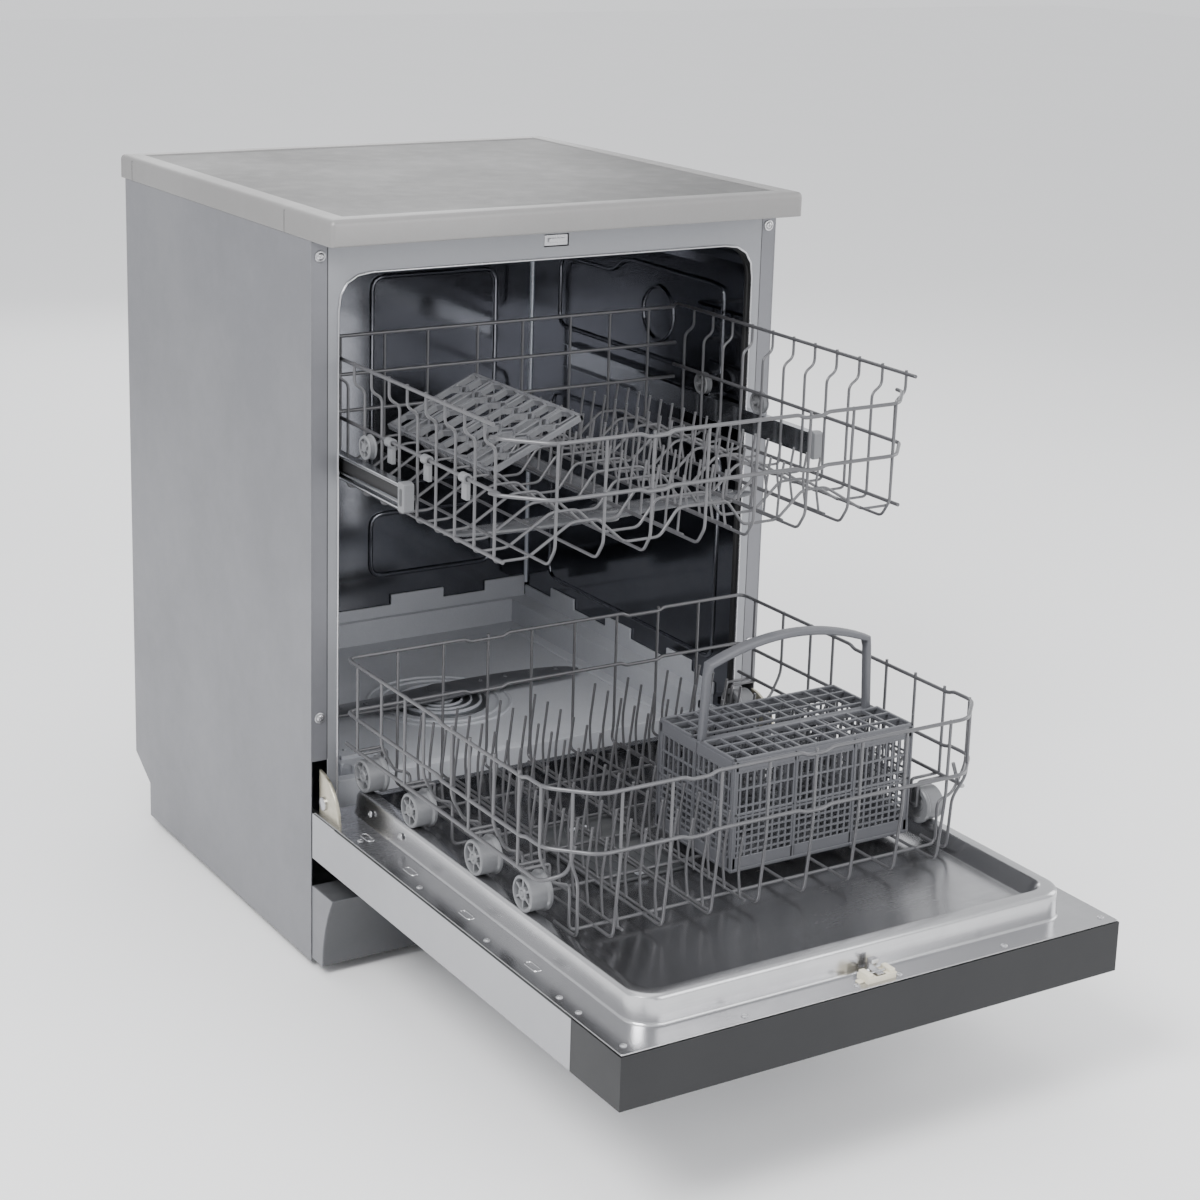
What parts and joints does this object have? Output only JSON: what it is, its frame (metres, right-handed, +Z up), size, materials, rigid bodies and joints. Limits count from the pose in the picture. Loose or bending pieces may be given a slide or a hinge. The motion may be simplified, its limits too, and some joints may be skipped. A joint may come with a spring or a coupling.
{
  "type": "free-standing dishwasher",
  "caption": "Free-standing dishwasher with its own worktop, shown with the drop-down door lowered and both wire racks drawn out on rollers and rails.",
  "frame": {"origin": "on the floor under the middle of the worktop", "axes": "+X to the right of someone facing the door, +Y towards the back of the machine, +Z up"},
  "size_m": [0.598, 1.175, 0.85],
  "materials": {
    "worktop_moulding": "fine grained, satin",
    "worktop_laminate": "chipboard under a light grey laminate",
    "silver_paint": "silver-grey powder coat",
    "frame_paint": "grey powder coat",
    "plinth_paint": "dark grey powder coat",
    "black_plastic": "matte",
    "stainless": "satin stainless steel",
    "zinc_steel": "zinc plated",
    "rubber": "matte",
    "charcoal_fascia": "satin",
    "cream_plastic": "satin",
    "grey_plastic": "satin",
    "light_plastic": "satin, slightly clear",
    "coated_wire": "grey plastic-coated steel wire",
    "counterweight": "rough"
  },
  "bodies": {
    "cabinet": {"worktop_edge": "worktop_moulding", "worktop_board": "worktop_laminate", "left_side_panel": "silver_paint", "right_side_panel": "silver_paint", "back_panel": "silver_paint", "base_tray": "black_plastic", "front_left_foot": "black_plastic", "front_right_foot": "black_plastic", "rear_left_foot": "black_plastic", "rear_right_foot": "black_plastic", "plinth": "plinth_paint", "front_frame": "frame_paint", "tub_wrapper": "stainless", "tub_back_wall": "stainless", "tub_floor": "grey_plastic", "door_seal": "rubber", "left_outer_rail": "stainless", "right_outer_rail": "stainless", "wash_pump": "black_plastic", "counterweight": "counterweight", "left_door_spring": "zinc_steel", "right_door_spring": "zinc_steel"},
    "door": {"door_outer_panel": "silver_paint", "door_fascia": "charcoal_fascia", "door_liner": "stainless", "latch_housing": "cream_plastic", "dispenser": "grey_plastic", "left_hinge_arm": "zinc_steel", "right_hinge_arm": "zinc_steel"},
    "lower_rack": {"lower_rack_floor": "coated_wire", "lower_rack_rear": "coated_wire", "lower_rear_tines": "coated_wire", "lower_front_tines": "coated_wire", "lower_rack_front": "coated_wire", "lower_rack_left_side": "coated_wire", "lower_rack_right_side": "coated_wire", "cutlery_basket": "grey_plastic"},
    "front_lid": {"front_basket_lid": "grey_plastic"},
    "rear_lid": {"rear_basket_lid": "grey_plastic"},
    "upper_rack": {"upper_rack_floor": "coated_wire", "upper_rack_front": "coated_wire", "upper_rack_left_side": "coated_wire", "upper_rack_right_side": "coated_wire"},
    "inner_rails": {"left_inner_rail": "stainless", "right_inner_rail": "stainless"},
    "cup_shelf": {"cup_shelf": "light_plastic"},
    "upper_arm": {"upper_spray_arm": "light_plastic"},
    "lower_arm": {"lower_spray_arm": "grey_plastic"},
    "filter": {"filter_cup": "grey_plastic"},
    "salt_cover": {"salt_cap": "grey_plastic"},
    "detergent_lid": {"detergent_lid": "light_plastic"},
    "latch_hook": {"latch_hook": "stainless"},
    "left_wheel_1": {"left_wheel_1": "grey_plastic"},
    "left_wheel_2": {"left_wheel_2": "grey_plastic"},
    "left_wheel_3": {"left_wheel_3": "grey_plastic"},
    "left_wheel_4": {"left_wheel_4": "grey_plastic"},
    "right_wheel_1": {"right_wheel_1": "grey_plastic"},
    "right_wheel_2": {"right_wheel_2": "grey_plastic"},
    "right_wheel_3": {"right_wheel_3": "grey_plastic"},
    "right_wheel_4": {"right_wheel_4": "grey_plastic"}
  },
  "joints": [
    {"name": "door_hinge", "type": "hinge", "parent": "cabinet", "child": "door", "pos_m": [0, -0.247, 0.188], "axis": [-1, 0, 0], "range_deg": [0, 12]},
    {"name": "lower_rack_slide", "type": "slide", "parent": "door", "child": "lower_rack", "axis": [0, -1, 0], "range_m": [-0.489, 0]},
    {"name": "upper_rack_slide", "type": "slide", "parent": "cabinet", "child": "upper_rack", "axis": [0, -1, 0], "range_m": [-0.364, 0]},
    {"name": "rail_slide", "type": "slide", "parent": "cabinet", "child": "inner_rails", "axis": [0, -1, 0], "range_m": [-0.182, 0]},
    {"name": "front_lid_hinge", "type": "hinge", "parent": "lower_rack", "child": "front_lid", "pos_m": [0.1, -0.578, 0.33], "axis": [-1, 0, 0], "range_deg": [0, 90]},
    {"name": "rear_lid_hinge", "type": "hinge", "parent": "lower_rack", "child": "rear_lid", "pos_m": [0.1, -0.562, 0.33], "axis": [1, 0, 0], "range_deg": [0, 90]},
    {"name": "cup_shelf_hinge", "type": "hinge", "parent": "upper_rack", "child": "cup_shelf", "pos_m": [-0.233, -0.405, 0.628], "axis": [0, -1, 0], "range_deg": [0, 60]},
    {"name": "upper_arm_turn", "type": "hinge", "parent": "upper_rack", "child": "upper_arm", "pos_m": [0, -0.36, 0.522], "axis": [0, 0, 1], "continuous": true},
    {"name": "lower_arm_turn", "type": "hinge", "parent": "cabinet", "child": "lower_arm", "pos_m": [0, 0.01, 0.1965], "axis": [0, 0, 1], "continuous": true},
    {"name": "filter_turn", "type": "hinge", "parent": "cabinet", "child": "filter", "pos_m": [0, 0.01, 0.185], "axis": [0, 0, 1], "range_deg": [0, 90]},
    {"name": "salt_cap_turn", "type": "hinge", "parent": "cabinet", "child": "salt_cover", "pos_m": [-0.198, -0.15, 0.185], "axis": [0, 0, 1], "range_deg": [0, 180]},
    {"name": "detergent_lid_slide", "type": "slide", "parent": "door", "child": "detergent_lid", "axis": [0, 1, 0], "range_m": [0, 0.036]},
    {"name": "latch_hook_swing", "type": "hinge", "parent": "door", "child": "latch_hook", "pos_m": [0, -0.865, 0.1935], "axis": [1, 0, 0], "range_deg": [-2, 5]},
    {"name": "left_wheel_1_roll", "type": "hinge", "parent": "lower_rack", "child": "left_wheel_1", "pos_m": [-0.2455, -0.6335, 0.2363], "axis": [1, 0, 0], "continuous": true},
    {"name": "left_wheel_2_roll", "type": "hinge", "parent": "lower_rack", "child": "left_wheel_2", "pos_m": [-0.2455, -0.5355, 0.2363], "axis": [1, 0, 0], "continuous": true},
    {"name": "left_wheel_3_roll", "type": "hinge", "parent": "lower_rack", "child": "left_wheel_3", "pos_m": [-0.2455, -0.3973, 0.2363], "axis": [1, 0, 0], "continuous": true},
    {"name": "left_wheel_4_roll", "type": "hinge", "parent": "lower_rack", "child": "left_wheel_4", "pos_m": [-0.2455, -0.2874, 0.2363], "axis": [1, 0, 0], "continuous": true},
    {"name": "right_wheel_1_roll", "type": "hinge", "parent": "lower_rack", "child": "right_wheel_1", "pos_m": [0.2455, -0.6335, 0.2363], "axis": [1, 0, 0], "continuous": true},
    {"name": "right_wheel_2_roll", "type": "hinge", "parent": "lower_rack", "child": "right_wheel_2", "pos_m": [0.2455, -0.5355, 0.2363], "axis": [1, 0, 0], "continuous": true},
    {"name": "right_wheel_3_roll", "type": "hinge", "parent": "lower_rack", "child": "right_wheel_3", "pos_m": [0.2455, -0.3973, 0.2363], "axis": [1, 0, 0], "continuous": true},
    {"name": "right_wheel_4_roll", "type": "hinge", "parent": "lower_rack", "child": "right_wheel_4", "pos_m": [0.2455, -0.2874, 0.2363], "axis": [1, 0, 0], "continuous": true}
  ],
  "couplings": [
    {"joint": "rail_slide", "follows": "upper_rack_slide", "ratio": 0.5},
    {"joint": "left_wheel_1_roll", "follows": "lower_rack_slide", "rad_per_m": 54.054},
    {"joint": "left_wheel_2_roll", "follows": "lower_rack_slide", "rad_per_m": 54.054},
    {"joint": "left_wheel_3_roll", "follows": "lower_rack_slide", "rad_per_m": 54.054},
    {"joint": "left_wheel_4_roll", "follows": "lower_rack_slide", "rad_per_m": 54.054},
    {"joint": "right_wheel_1_roll", "follows": "lower_rack_slide", "rad_per_m": 54.054},
    {"joint": "right_wheel_2_roll", "follows": "lower_rack_slide", "rad_per_m": 54.054},
    {"joint": "right_wheel_3_roll", "follows": "lower_rack_slide", "rad_per_m": 54.054},
    {"joint": "right_wheel_4_roll", "follows": "lower_rack_slide", "rad_per_m": 54.054}
  ]
}
